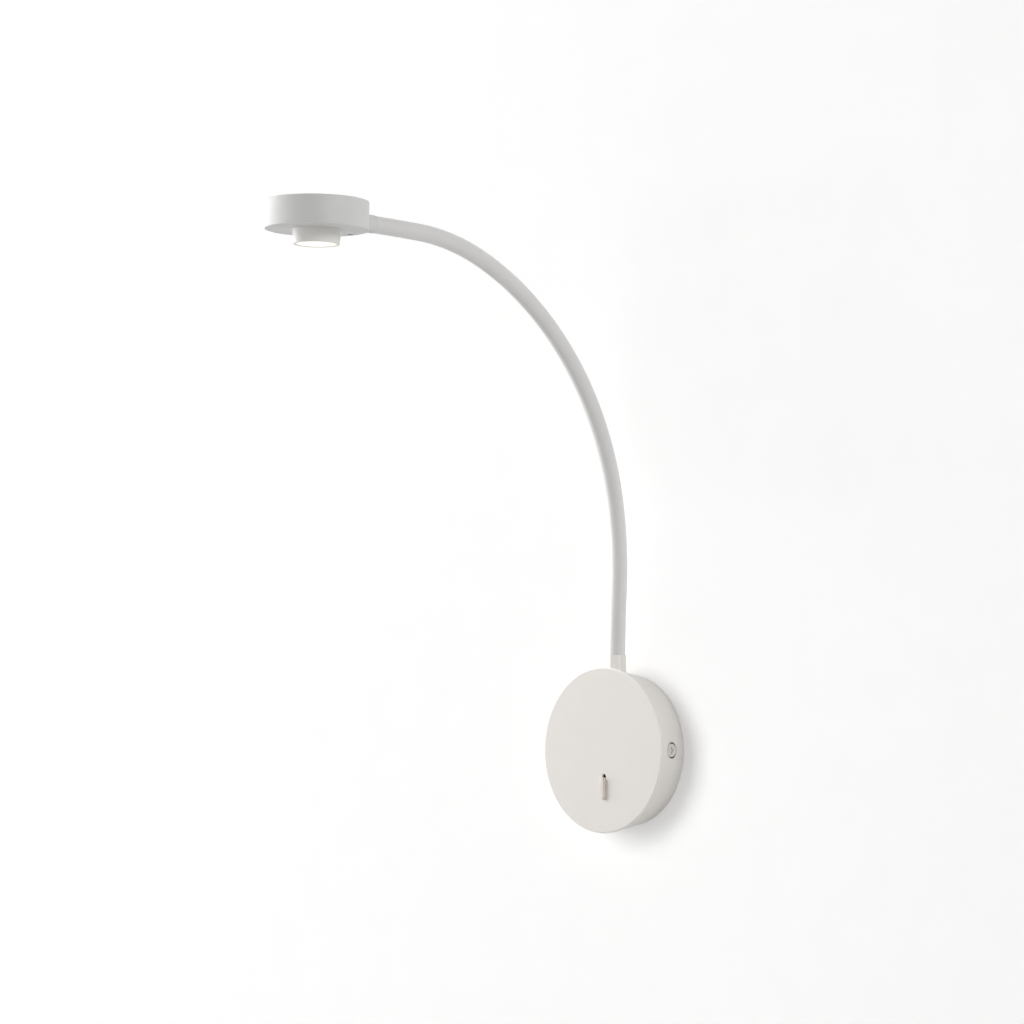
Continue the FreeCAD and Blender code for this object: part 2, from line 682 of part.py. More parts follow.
def make_low_voltage_wires():
    low_z = driver_bottom_z + driver_wall + wire_into_driver
    high_z = driver_top_z - driver_wall - wire_into_driver
    above_z = (driver_top_z + stem_bottom_z) / 2 - wire_top_offset
    between_z = (driver_bottom_z + switch_ear_top_z) / 2
    terminal_z = knob_middle_z + switch_terminal_rise
    behind_y = switch_back_y + wire_behind_switch
    front_y = (driver_front_y + cover_inside_y) / 2 + wire_front_offset
    left_x = switch_x - switch_terminal_offset
    right_x = switch_x + switch_terminal_offset
    stem_left_x = -wire_spacing / 2
    stem_right_x = wire_spacing / 2
    from_driver = wire_run([
        V(driver_out_low_x, board_front_y, low_z), V(driver_out_low_x, wire_exit_y, low_z),
        V(driver_out_low_x, wire_exit_y, driver_bottom_z - wire_below_driver), V(right_x, behind_y, terminal_z),
        V(right_x, switch_back_y, terminal_z)])
    to_arm = wire_run([
        V(left_x, switch_back_y, terminal_z), V(left_x, behind_y, terminal_z),
        V(stem_left_x, behind_y, between_z), V(stem_left_x, front_y, between_z),
        V(stem_left_x, front_y, above_z), V(stem_left_x, arm_start_y, above_z),
        V(stem_left_x, arm_start_y, stem_bottom_z)])
    return_wire = wire_run([
        V(driver_out_high_x, board_front_y, high_z), V(driver_out_high_x, arm_start_y, high_z),
        V(driver_out_high_x, arm_start_y, above_z), V(stem_right_x, arm_start_y, above_z),
        V(stem_right_x, arm_start_y, stem_bottom_z)])
    save("low_voltage_wires", Part.makeCompound([from_driver, to_arm, return_wire]))


def make_switch():
    knob_width = slot_width - 2 * running_gap
    front = cover_front_y - knob_stand
    flange_front = cover_inside_y + running_gap
    flange_back = flange_front + knob_flange_thickness
    body_front = flange_back + running_gap
    bar = slot_prism(knob_width, knob_length, switch_x, front, flange_front, knob_middle_z)
    rim = []
    for edge in bar.Edges:
        if abs(edge.BoundBox.YMax - front) < 1e-6:
            rim.append(edge)
    bar = bar.makeFillet(knob_edge_radius, rim)
    flange = block(switch_x - knob_width, switch_x + knob_width, flange_front, flange_back,
                   knob_middle_z - knob_length / 2, knob_middle_z + knob_length / 2)
    tongue = block(switch_x - tongue_width / 2, switch_x + tongue_width / 2, flange_back,
                   flange_back + tongue_depth, knob_middle_z - tongue_length / 2, knob_middle_z + tongue_length / 2)
    save("switch_knob", bar.fuse(flange).fuse(tongue).removeSplitter())

    ear_front = cover_inside_y + switch_ear_setback
    half_length = switch_body_length / 2
    body = block(switch_x - switch_body_width / 2, switch_x + switch_body_width / 2, body_front, switch_back_y,
                 knob_middle_z - half_length, knob_middle_z + half_length)
    ears = block(switch_x - switch_body_width / 2, switch_x + switch_body_width / 2, ear_front,
                 ear_front + switch_ear_thickness, knob_middle_z - half_length - switch_ear_length,
                 switch_ear_top_z)
    body = body.fuse(ears).removeSplitter()
    groove = block(switch_x - tongue_width / 2 - running_gap, switch_x + tongue_width / 2 + running_gap, body_front,
                   flange_back + tongue_depth + running_gap,
                   knob_middle_z - tongue_length / 2 - running_gap,
                   knob_middle_z + tongue_length / 2 + switch_travel + running_gap)
    body = body.cut(groove)
    screws = []
    for z in switch_screw_heights():
        tip = V(switch_x, cover_inside_y + fit_gap, z)
        seat = V(switch_x, ear_front + switch_ear_thickness, z)
        head_top = seat + Y_AXIS * switch_screw_head_height
        body = body.cut(cylinder(switch_screw_radius + slip_gap, V(switch_x, ear_front, z), seat))
        screw = cylinder(switch_screw_radius, tip, seat)
        screw = screw.fuse(cylinder(switch_screw_head_radius, seat, head_top))
        recess = cross_recess(head_top, Y_AXIS, switch_screw_head_radius, switch_screw_head_height)
        screws.append(screw.cut(recess))
    save("switch_body", body)
    save("switch_screws", Part.makeCompound(screws))


def place_in_head(shape):
    # The head is drawn round the middle of its underside, with the arm entering from +Y.
    shape = shape.copy()
    shape.translate(V(0, -head_radius, -head_arm_height))
    return arm_end_frame(shape)


def head_cylinder(radius, z0, z1, x=0.0, y=0.0):
    return cylinder(radius, V(x, y, z0), V(x, y, z1))


def socket_solid(bottom):
    return block(-socket_half_width, socket_half_width, head_radius - head_wall / 2 - socket_length,
                 head_radius - head_wall / 2, bottom, socket_top)


def sink_levels():
    flange_top = plate_thickness + collar_flange_thickness
    base_top = flange_top + sink_base_thickness
    fin_top = head_height - head_wall - sink_top_gap
    return flange_top, base_top, fin_top


def board_levels():
    top = sink_levels()[0] - pad_thickness
    return top - board_thickness, top


def sink_screw_points():
    points = []
    for angle_deg in sink_screw_angles_deg:
        angle = math.radians(angle_deg)
        points.append((sink_screw_ring * math.cos(angle), sink_screw_ring * math.sin(angle)))
    return points


def make_head_housing():
    outer = head_cylinder(head_radius, 0, head_height)
    top_edge = circle_edges(outer, head_radius, "z", head_height)
    housing = outer.makeFillet(head_edge_radius, top_edge)
    housing = housing.cut(head_cylinder(head_radius - head_wall, 0, head_height - head_wall))
    housing = housing.fuse(socket_solid(plate_thickness))
    post_bottom = sink_levels()[1]
    post_top = head_height - head_wall
    for side in (-1, 1):
        housing = housing.fuse(head_cylinder(post_radius, post_bottom, post_top, side * board_screw_x))
    housing = housing.removeSplitter()
    for side in (-1, 1):
        hole = head_cylinder(board_screw_radius + fit_gap, post_bottom, post_top, side * board_screw_x)
        housing = housing.cut(hole)
    arm_in = V(0, head_radius, head_arm_height)
    arm_deep = V(0, head_radius - head_wall / 2 - socket_length, head_arm_height)
    housing = housing.cut(cylinder(head_stem_radius + fit_gap, arm_in, arm_deep))
    screw_y = head_radius - clamp_screw_inset
    housing = housing.cut(head_cylinder(clamp_screw_radius + fit_gap, plate_thickness, head_arm_height, 0, screw_y))
    save("head_housing", place_in_head(housing))


def make_head_base_plate():
    plate = head_cylinder(head_radius - head_wall - fit_gap, 0, plate_thickness)
    plate = plate.cut(head_cylinder(nose_top_radius + fit_gap, 0, plate_thickness))
    screw_y = head_radius - clamp_screw_inset
    plate = plate.cut(head_cylinder(clamp_screw_radius + slip_gap, 0, plate_thickness, 0, screw_y))
    for x, y in sink_screw_points():
        plate = plate.cut(head_cylinder(sink_screw_radius + fit_gap, plate_thickness / 2, plate_thickness, x, y))
    save("head_base_plate", place_in_head(plate))


def make_clamp_screw():
    screw_y = head_radius - clamp_screw_inset
    screw = head_cylinder(clamp_screw_radius, clamp_screw_recess, head_arm_height - head_stem_radius - fit_gap,
                          0, screw_y)
    hexagon = []
    for step in range(7):
        angle = math.radians(60 * step)
        hexagon.append(V(clamp_socket_radius * math.cos(angle), screw_y + clamp_socket_radius * math.sin(angle),
                         clamp_screw_recess))
    socket = Part.Face(Part.makePolygon(hexagon)).extrude(Z_AXIS * clamp_socket_depth)
    save("arm_clamp_screw", place_in_head(screw.cut(socket)))


def make_arm_head_fitting():
    arm_in = V(0, 0, 0)
    cup_mouth = V(0, head_cup_length, 0)
    cup_end = V(0, head_cup_floor, 0)
    stem_end = V(0, -head_wall / 2 - head_stem_length, 0)
    outer = sleeve_radius + cup_gap + head_cup_wall
    cup = cylinder(outer, V(0, -head_wall, 0), cup_mouth)
    rim_bottom = V(0, -head_radius, -2 * head_height)
    cup = cup.cut(Part.makeCylinder(head_radius + fit_gap, 4 * head_height, rim_bottom))
    fitting = cup.fuse(cylinder(head_stem_radius, stem_end, cup_end))
    fitting = fitting.cut(cylinder(sleeve_radius + cup_gap, cup_end, cup_mouth))
    fitting = fitting.cut(cylinder(stem_bore_radius, stem_end, cup_end))
    save("arm_head_fitting", arm_end_frame(fitting.removeSplitter()))


def make_nose_collar():
    flange_top = sink_levels()[0]
    body = Part.makeCone(nose_tip_radius, nose_top_radius, nose_length, V(0, 0, -nose_length))
    body = body.makeFillet(nose_edge_radius, circle_edges(body, nose_tip_radius, "z", -nose_length))
    body = body.fuse(head_cylinder(nose_top_radius, 0, plate_thickness))
    body = body.fuse(head_cylinder(collar_flange_radius, plate_thickness, flange_top)).removeSplitter()
    body = body.cut(head_cylinder(nose_bore_radius, -nose_length, flange_top))
    for x, y in sink_screw_points():
        body = body.cut(head_cylinder(sink_screw_radius + slip_gap, plate_thickness, flange_top, x, y))
    save("nose_collar", place_in_head(body))


def make_lens():
    outer = nose_bore_radius - fit_gap
    bottom = -nose_length + lens_recess
    lens = head_cylinder(outer, bottom, bottom + lens_thickness + lens_skirt_height)
    lens = lens.cut(head_cylinder(outer - lens_skirt_thickness, bottom + lens_thickness,
                                  bottom + lens_thickness + lens_skirt_height))
    save("lens", place_in_head(lens))


def make_reflector():
    top = board_levels()[0]
    bottom = -nose_length + lens_recess + lens_thickness + lens_skirt_height
    height = top - bottom
    wide = nose_bore_radius - fit_gap
    narrow = reflector_top_radius + reflector_wall
    outer = Part.makeCone(wide, narrow, height, V(0, 0, bottom))
    inner = Part.makeCone(wide - reflector_wall, reflector_top_radius, height, V(0, 0, bottom))
    shell = outer.cut(inner)
    for side in (-1, 1):
        clear = head_cylinder(board_screw_head_radius + loose_gap, top - board_screw_head_height - loose_gap, top,
                              side * board_screw_x)
        shell = shell.cut(clear)
    save("reflector", place_in_head(shell))


def make_led_module():
    low, high = board_levels()
    flange_top, base_top, fin_top = sink_levels()
    board = head_cylinder(board_radius, low, high)
    pad = head_cylinder(board_radius, high, flange_top)
    sink = head_cylinder(collar_flange_radius, flange_top, base_top)
    fins = []
    for index in range(sink_fin_count):
        x = (index - (sink_fin_count - 1) / 2) * sink_fin_pitch
        fins.append(block(x - sink_fin_thickness / 2, x + sink_fin_thickness / 2, -collar_flange_radius,
                          collar_flange_radius, base_top - sink_fin_root, fin_top))
    fins = Part.makeCompound(fins).common(head_cylinder(collar_flange_radius, base_top - sink_fin_root, fin_top))
    fins = fins.cut(block(-sink_channel_half_width, sink_channel_half_width, head_wire_slot_y - sink_channel_lead,
                          collar_flange_radius, base_top, fin_top))
    for fin in fins.Solids:
        sink = sink.fuse(fin)
    wire_hole_x = wire_spacing / 2 + wire_radius + loose_gap
    wire_hole_y = wire_radius + loose_gap
    slot = block(-wire_hole_x, wire_hole_x, head_wire_slot_y - wire_hole_y, head_wire_slot_y + wire_hole_y,
                 low, base_top)
    sink = sink.cut(slot)
    pad = pad.cut(slot)
    for side in (-1, 1):
        x = side * board_screw_x
        passage = head_cylinder(board_screw_radius + slip_gap, low, base_top, x)
        board = board.cut(passage)
        pad = pad.cut(passage)
        sink = sink.cut(passage)
        sink = sink.cut(head_cylinder(post_radius + loose_gap, base_top, fin_top, x))
    for x, y in sink_screw_points():
        sink = sink.cut(head_cylinder(sink_screw_radius + slip_gap, flange_top, base_top, x, y))
        sink = sink.cut(head_cylinder(sink_screw_head_radius + loose_gap, base_top, fin_top, x, y))
    save("led_board", place_in_head(board))
    save("thermal_pad", place_in_head(pad))
    save("heat_sink", place_in_head(largest_solid(sink)))
    save("led_chip", place_in_head(head_cylinder(chip_radius, low - chip_thickness, low)))


def largest_solid(shape):
    # Slivers of fin that the cuts leave loose fall away.
    return sorted(shape.removeSplitter().Solids, key=lambda solid: solid.Volume)[-1]


def make_head_screws():
    low, _ = board_levels()
    _, base_top, fin_top = sink_levels()
    long_screws = []
    for side in (-1, 1):
        x = side * board_screw_x
        screw = head_cylinder(board_screw_radius, low, fin_top - board_screw_end_gap, x)
        screw = screw.fuse(head_cylinder(board_screw_head_radius, low - board_screw_head_height, low, x))
        recess = cross_recess(V(x, 0, low - board_screw_head_height), -Z_AXIS, board_screw_head_radius,
                              board_screw_head_height)
        long_screws.append(place_in_head(screw.cut(recess)))
    save("led_board_screws", Part.makeCompound(long_screws))
    short_screws = []
    for x, y in sink_screw_points():
        screw = head_cylinder(sink_screw_radius, plate_thickness / 2 + fit_gap, base_top, x, y)
        head_top = base_top + sink_screw_head_height
        screw = screw.fuse(head_cylinder(sink_screw_head_radius, base_top, head_top, x, y))
        recess = cross_recess(V(x, y, head_top), Z_AXIS, sink_screw_head_radius, sink_screw_head_height)
        short_screws.append(place_in_head(screw.cut(recess)))
    save("heat_sink_screws", Part.makeCompound(short_screws))


def make_head_wires():
    board_top = board_levels()[1]
    wires = []
    for side in (-1, 1):
        x = side * wire_spacing / 2
        start = V(x, head_radius, head_arm_height)
        turn = V(x, head_wire_slot_y, head_arm_height)
        wire = wire_run([start, turn, V(x, head_wire_slot_y, board_top)], bend=head_wire_bend_radius)
        wires.append(place_in_head(wire))
    save("head_wires", Part.makeCompound(wires))


def main():
    os.makedirs("parts", exist_ok=True)
    make_base_cover()
    make_wall_bracket()
    make_side_screws()
    make_grommet()
    make_terminal_block()
    make_earth_screw()
    make_earth_wire()
    make_driver()
    make_mains_wires()
    make_low_voltage_wires()
    make_switch()
    make_arm_base_fitting()
    make_arm_nut_and_washer()
    make_arm()
    make_arm_head_fitting()
    make_head_housing()
    make_head_base_plate()
    make_clamp_screw()
    make_nose_collar()
    make_lens()
    make_reflector()
    make_led_module()
    make_head_screws()
    make_head_wires()


main()
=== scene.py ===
import json
import math

import bpy
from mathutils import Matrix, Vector

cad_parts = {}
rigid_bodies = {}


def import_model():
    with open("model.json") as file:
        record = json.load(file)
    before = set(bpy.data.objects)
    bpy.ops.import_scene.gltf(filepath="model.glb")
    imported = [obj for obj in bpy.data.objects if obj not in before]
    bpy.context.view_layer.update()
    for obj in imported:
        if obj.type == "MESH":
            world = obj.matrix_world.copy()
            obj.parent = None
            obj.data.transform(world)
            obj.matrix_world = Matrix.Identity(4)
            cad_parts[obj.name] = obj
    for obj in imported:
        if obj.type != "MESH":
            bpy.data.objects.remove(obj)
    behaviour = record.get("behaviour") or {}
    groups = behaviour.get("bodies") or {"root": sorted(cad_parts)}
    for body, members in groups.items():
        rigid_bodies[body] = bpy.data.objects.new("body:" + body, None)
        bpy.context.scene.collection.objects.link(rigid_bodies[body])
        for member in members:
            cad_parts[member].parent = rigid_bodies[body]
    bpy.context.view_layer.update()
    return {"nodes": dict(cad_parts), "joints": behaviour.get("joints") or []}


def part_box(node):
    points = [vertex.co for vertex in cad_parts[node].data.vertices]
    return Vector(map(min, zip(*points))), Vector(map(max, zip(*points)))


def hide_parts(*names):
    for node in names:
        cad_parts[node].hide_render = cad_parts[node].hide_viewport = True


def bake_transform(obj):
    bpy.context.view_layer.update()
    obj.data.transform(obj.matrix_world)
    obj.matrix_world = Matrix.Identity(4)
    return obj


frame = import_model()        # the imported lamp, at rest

print("frame loaded:", len(frame["nodes"]), "nodes")

# The view: a long lens, level with the base, a little to the right of it.
view = {
    "position": (1.9282, -1.9752, 0.0091),
    "turnDeg": 45.92,         # from looking along +Y, towards -X
    "riseDeg": 3.10,          # looking up
    "focalPixels": 4144.0,
    "imagePixels": 1024.0,
    "sensorMm": 36.0,
}


def makeCamera():
    data = bpy.data.cameras.new("camera")
    data.sensor_width = view["sensorMm"]
    data.lens = view["focalPixels"] * view["sensorMm"] / view["imagePixels"]
    data.clip_start = 0.05
    data.clip_end = 50.0
    camera = bpy.data.objects.new("camera", data)
    camera.location = view["position"]
    camera.rotation_euler = (math.radians(90 + view["riseDeg"]), 0, math.radians(view["turnDeg"]))
    bpy.context.scene.collection.objects.link(camera)
    bpy.context.scene.camera = camera


makeCamera()
bpy.context.scene.view_settings.view_transform = "Standard"
print("camera placed")


def newMaterial(name):
    material = bpy.data.materials.new(name)
    material.use_nodes = True
    tree = material.node_tree
    tree.nodes.clear()
    output = tree.nodes.new("ShaderNodeOutputMaterial")
    return material, tree, output


def addNode(tree, kind, settings=None):
    node = tree.nodes.new(kind)
    for key, value in (settings or {}).items():
        setattr(node, key, value)
    return node


def objectPoint(tree, stretch=(1, 1, 1)):
    where = addNode(tree, "ShaderNodeTexCoord")
    mapping = addNode(tree, "ShaderNodeMapping")
    mapping.inputs["Scale"].default_value = stretch
    tree.links.new(where.outputs["Object"], mapping.inputs["Vector"])
    return mapping.outputs["Vector"]


def noise(tree, point, scale, detail=2.0):
    node = addNode(tree, "ShaderNodeTexNoise")
    node.inputs["Scale"].default_value = scale
    node.inputs["Detail"].default_value = detail
    tree.links.new(point, node.inputs["Vector"])
    return node.outputs["Fac"]


noiseBand = (0.3, 0.7)      # the part of a noise's range that most of it falls in


def spread(tree, value, low, high):
    # Maps the middle of a noise to two wanted values.
    node = addNode(tree, "ShaderNodeMapRange")
    node.inputs["From Min"].default_value, node.inputs["From Max"].default_value = noiseBand
    node.inputs["To Min"].default_value = low
    node.inputs["To Max"].default_value = high
    tree.links.new(value, node.inputs["Value"])
    return node.outputs["Result"]


def mixColour(tree, factor, first, second):
    node = addNode(tree, "ShaderNodeMix", {"data_type": "RGBA"})
    for socket, value in (("A", first), ("B", second)):
        target = [s for s in node.inputs if s.name == socket and s.type == "RGBA"][0]
        if isinstance(value, bpy.types.NodeSocket):
            tree.links.new(value, target)
        else:
            target.default_value = (*value, 1.0)
    factorSocket = [s for s in node.inputs if s.name == "Factor" and s.type == "VALUE"][0]
    tree.links.new(factor, factorSocket)
    return [s for s in node.outputs if s.type == "RGBA"][0]


def compare(tree, value, limit):
    node = addNode(tree, "ShaderNodeMath", {"operation": "GREATER_THAN"})
    node.inputs[1].default_value = limit
    tree.links.new(value, node.inputs[0])
    return node.outputs["Value"]


def bump(tree, height, strength, distance):
    node = addNode(tree, "ShaderNodeBump")
    node.inputs["Strength"].default_value = strength
    node.inputs["Distance"].default_value = distance
    tree.links.new(height, node.inputs["Height"])
    return node.outputs["Normal"]


def finishMaterial(tree, output, sockets, colour, roughness=None, normal=None):
    shader = addNode(tree, "ShaderNodeBsdfPrincipled")
    for socket, value in sockets.items():
        shader.inputs[socket].default_value = value
    if isinstance(colour, bpy.types.NodeSocket):
        tree.links.new(colour, shader.inputs["Base Color"])
    else:
        shader.inputs["Base Color"].default_value = (*colour, 1.0)
    if roughness is not None:
        tree.links.new(roughness, shader.inputs["Roughness"])
    if normal is not None:
        tree.links.new(normal, shader.inputs["Normal"])
    tree.links.new(shader.outputs["BSDF"], output.inputs["Surface"])
    return shader


# Each finish has two tones in patches, fine grain, a roughness range and a slight bump.
grainLooks = {
    "basePaint": {"tone": (0.835, 0.805, 0.765), "tone2": (0.815, 0.785, 0.745), "patch": 45, "grain": 2600,
                  "rough": (0.36, 0.46), "bump": (0.10, 0.00003), "stretch": (1, 1, 1),
                  "sockets": {"Specular IOR Level": 0.4, "Coat Weight": 0.15, "Coat Roughness": 0.15}},
    # The head's paint: a darker copy of the base paint, painted shade for the head.
    "headPaintShaded": {"tone": (0.730, 0.728, 0.722), "tone2": (0.705, 0.703, 0.697), "patch": 60, "grain": 2600,
                  "rough": (0.48, 0.58), "bump": (0.10, 0.00003), "stretch": (1, 1, 1),
                  "sockets": {"Specular IOR Level": 0.3}},
    # The nose collar's paint: a lighter copy of the same paint, painted light against the head's shadow on the nose.
    "collarPaintLit": {"tone": (0.870, 0.855, 0.830), "tone2": (0.850, 0.835, 0.810), "patch": 60, "grain": 2600,
                    "rough": (0.42, 0.52), "bump": (0.10, 0.00003), "stretch": (1, 1, 1),
                    "sockets": {"Specular IOR Level": 0.4}},
    "blackOxide": {"tone": (0.030, 0.030, 0.032), "tone2": (0.055, 0.055, 0.058), "patch": 700, "grain": 2800,
                   "rough": (0.35, 0.5), "bump": (0.12, 0.00003), "stretch": (1, 1, 1),
                   "sockets": {"Metallic": 0.6}},
    "paintedScrew": {"tone": (0.74, 0.72, 0.69), "tone2": (0.66, 0.64, 0.61), "patch": 600, "grain": 3000,
                     "rough": (0.34, 0.5), "bump": (0.15, 0.00003), "stretch": (1, 1, 1),
                     "sockets": {"Specular IOR Level": 0.5}},
    "sleeveRubber": {"tone": (0.765, 0.754, 0.742), "tone2": (0.740, 0.729, 0.717), "patch": 60, "grain": 3200,
                     "rough": (0.40, 0.52), "bump": (0.12, 0.00003), "stretch": (1, 1, 1),
                     "sockets": {"Specular IOR Level": 0.42, "Sheen Weight": 0.25, "Sheen Roughness": 0.5}},
    "zincPlate": {"tone": (0.62, 0.62, 0.60), "tone2": (0.50, 0.50, 0.47), "patch": 120, "grain": 1800,
                  "rough": (0.24, 0.42), "bump": (0.12, 0.00004), "stretch": (0.1, 1, 1),
                  "sockets": {"Metallic": 1.0}},
    "springStrip": {"tone": (0.56, 0.56, 0.57), "tone2": (0.42, 0.42, 0.43), "patch": 200, "grain": 2400,
                    "rough": (0.22, 0.38), "bump": (0.1, 0.00003), "stretch": (1, 1, 1),
                    "sockets": {"Metallic": 1.0}},
    "blackRubber": {"tone": (0.030, 0.030, 0.031), "tone2": (0.045, 0.045, 0.047), "patch": 300, "grain": 2500,
                    "rough": (0.55, 0.75), "bump": (0.3, 0.00005), "stretch": (1, 1, 1), "sockets": {}},
    "naturalNylon": {"tone": (0.74, 0.72, 0.64), "tone2": (0.68, 0.66, 0.57), "patch": 150, "grain": 2200,
                     "rough": (0.4, 0.55), "bump": (0.15, 0.00004), "stretch": (1, 1, 1),
                     "sockets": {"Subsurface Weight": 0.05}},
    "terminalBrass": {"tone": (0.70, 0.52, 0.24), "tone2": (0.56, 0.40, 0.17), "patch": 500, "grain": 2600,
                      "rough": (0.2, 0.36), "bump": (0.1, 0.00003), "stretch": (1, 1, 1),
                      "sockets": {"Metallic": 1.0}},
    "casePlastic": {"tone": (0.72, 0.72, 0.70), "tone2": (0.68, 0.68, 0.66), "patch": 90, "grain": 1500,
                    "rough": (0.5, 0.62), "bump": (0.35, 0.00006), "stretch": (1, 1, 1), "sockets": {}},
    "coreTape": {"tone": (0.74, 0.50, 0.05), "tone2": (0.62, 0.40, 0.03), "patch": 240, "grain": 900,
                 "rough": (0.25, 0.4), "bump": (0.2, 0.00006), "stretch": (1, 1, 0.1), "sockets": {}},
    "shrinkCan": {"tone": (0.020, 0.025, 0.050), "tone2": (0.035, 0.040, 0.075), "patch": 200, "grain": 1400,
                  "rough": (0.28, 0.42), "bump": (0.1, 0.00003), "stretch": (1, 1, 0.2), "sockets": {}},
    "blackPlastic": {"tone": (0.022, 0.022, 0.023), "tone2": (0.032, 0.032, 0.034), "patch": 200, "grain": 1800,
                     "rough": (0.42, 0.6), "bump": (0.3, 0.00005), "stretch": (1, 1, 1), "sockets": {}},
    "whitePlastic": {"tone": (0.80, 0.715, 0.645), "tone2": (0.76, 0.675, 0.605), "patch": 200, "grain": 2600,
                     "rough": (0.34, 0.46), "bump": (0.1, 0.00002), "stretch": (1, 1, 1),
                     "sockets": {"Specular IOR Level": 0.5}},
    "mirrorFilm": {"tone": (0.88, 0.88, 0.89), "tone2": (0.82, 0.82, 0.83), "patch": 90, "grain": 900,
                   "rough": (0.06, 0.14), "bump": (0.04, 0.00002), "stretch": (1, 1, 1),
                   "sockets": {"Metallic": 1.0}},
    "whiteMask": {"tone": (0.80, 0.80, 0.78), "tone2": (0.75, 0.75, 0.73), "patch": 260, "grain": 1500,
                  "rough": (0.32, 0.44), "bump": (0.1, 0.00003), "stretch": (1, 1, 1), "sockets": {}},
    "phosphor": {"tone": (0.88, 0.66, 0.10), "tone2": (0.80, 0.56, 0.06), "patch": 900, "grain": 3800,
                 "rough": (0.5, 0.65), "bump": (0.4, 0.00005), "stretch": (1, 1, 1), "sockets": {}},
    "thermalPad": {"tone": (0.30, 0.31, 0.34), "tone2": (0.26, 0.27, 0.30), "patch": 400, "grain": 2200,
                   "rough": (0.6, 0.8), "bump": (0.4, 0.00006), "stretch": (1, 1, 1), "sockets": {}},
    "extrudedAlloy": {"tone": (0.66, 0.67, 0.68), "tone2": (0.56, 0.57, 0.58), "patch": 160, "grain": 1400,
                      "rough": (0.26, 0.44), "bump": (0.3, 0.00005), "stretch": (1, 0.06, 1),
                      "sockets": {"Metallic": 1.0}},
}


# Painted shade in the recesses round the side screws' heads.
gapShadeLook = {"finish": "basePaint", "screws": "cover_side_screws", "radius": 0.0054, "tone": (0.10, 0.097, 0.094)}
patchDetail = 3.0
# Painted highlight on the narrow round at the base's front edge.
edgeHighlightLook = {"finish": "basePaint", "tone": (0.97, 0.95, 0.92), "from": -0.93, "to": -0.36}


def paintGapShade(tree, point, colour):
    # Painted shade: the paint is dark in the recess round each side screw's head, standing in for the shadow in the
    # gap.
    low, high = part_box(gapShadeLook["screws"])
    middle = (low + high) / 2
    separate = addNode(tree, "ShaderNodeSeparateXYZ")
    tree.links.new(point, separate.inputs["Vector"])
    flat = addNode(tree, "ShaderNodeCombineXYZ")
    tree.links.new(separate.outputs["Y"], flat.inputs["Y"])
    tree.links.new(separate.outputs["Z"], flat.inputs["Z"])
    away = addNode(tree, "ShaderNodeVectorMath", {"operation": "DISTANCE"})
    away.inputs[1].default_value = (0, middle.y, middle.z)
    tree.links.new(flat.outputs["Vector"], away.inputs[0])
    return mixColour(tree, compare(tree, away.outputs["Value"], gapShadeLook["radius"]), gapShadeLook["tone"], colour)


def paintEdgeHighlight(tree, colour):
    # Painted highlight: the paint is made brighter on the narrow round between the front and the rim.
    where = addNode(tree, "ShaderNodeNewGeometry")
    separate = addNode(tree, "ShaderNodeSeparateXYZ")
    tree.links.new(where.outputs["Normal"], separate.inputs["Vector"])
    pastFront = compare(tree, separate.outputs["Y"], edgeHighlightLook["from"])
    pastRound = compare(tree, separate.outputs["Y"], edgeHighlightLook["to"])
    return mixColour(tree, pastRound, mixColour(tree, pastFront, colour, edgeHighlightLook["tone"]), colour)


def grainFinish(name):
    # A surface with slow patches of tone, fine grain in its bump and a roughness that wanders.
    look = grainLooks[name]
    material, tree, output = newMaterial(name)
    point = objectPoint(tree, look["stretch"])
    patches = noise(tree, point, look["patch"], patchDetail)
    grain = noise(tree, point, look["grain"], 2.0)
    colour = mixColour(tree, spread(tree, patches, 0.0, 1.0), look["tone"], look["tone2"])
    # The base paint gets a painted highlight on its front edge round.
    if name == edgeHighlightLook["finish"]:
        colour = paintEdgeHighlight(tree, colour)
    # The base paint gets painted shade in the side screws' recesses.
    if name == gapShadeLook["finish"]:
        colour = paintGapShade(tree, point, colour)
    roughness = spread(tree, patches, *look["rough"])
    normal = bump(tree, grain, *look["bump"])
    finishMaterial(tree, output, look["sockets"], colour, roughness, normal)
    return material


wireLooks = {
    # two insulation colours, split where a wire lies left or right of a plane across X
    "mainsInsulation": {"left": (0.16, 0.055, 0.022), "right": (0.03, 0.10, 0.42), "splitX": -0.0235},
    "lampInsulation": {"left": (0.50, 0.03, 0.025), "right": (0.028, 0.028, 0.030), "splitX": 0.0},
    "rough": (0.32, 0.46), "grain": 1500, "bump": (0.1, 0.00003),
}


def wireFinish(name):
    look = wireLooks[name]
    material, tree, output = newMaterial(name)
    point = objectPoint(tree)
    separate = addNode(tree, "ShaderNodeSeparateXYZ")
    tree.links.new(point, separate.inputs["Vector"])
    side = compare(tree, separate.outputs["X"], look["splitX"])
    colour = mixColour(tree, side, look["left"], look["right"])
    grain = noise(tree, point, wireLooks["grain"])
    finishMaterial(tree, output, {}, colour, spread(tree, grain, *wireLooks["rough"]),
                   bump(tree, grain, *wireLooks["bump"]))
    return material


earthLook = {
    "green": (0.05, 0.30, 0.04), "yellow": (0.80, 0.66, 0.04), "stripes": 700, "wander": 1.5, "greenShare": 0.55,
    "tin": (0.62, 0.62, 0.60), "lugFront": -0.0026, "rough": (0.3, 0.45), "grain": 900,
}


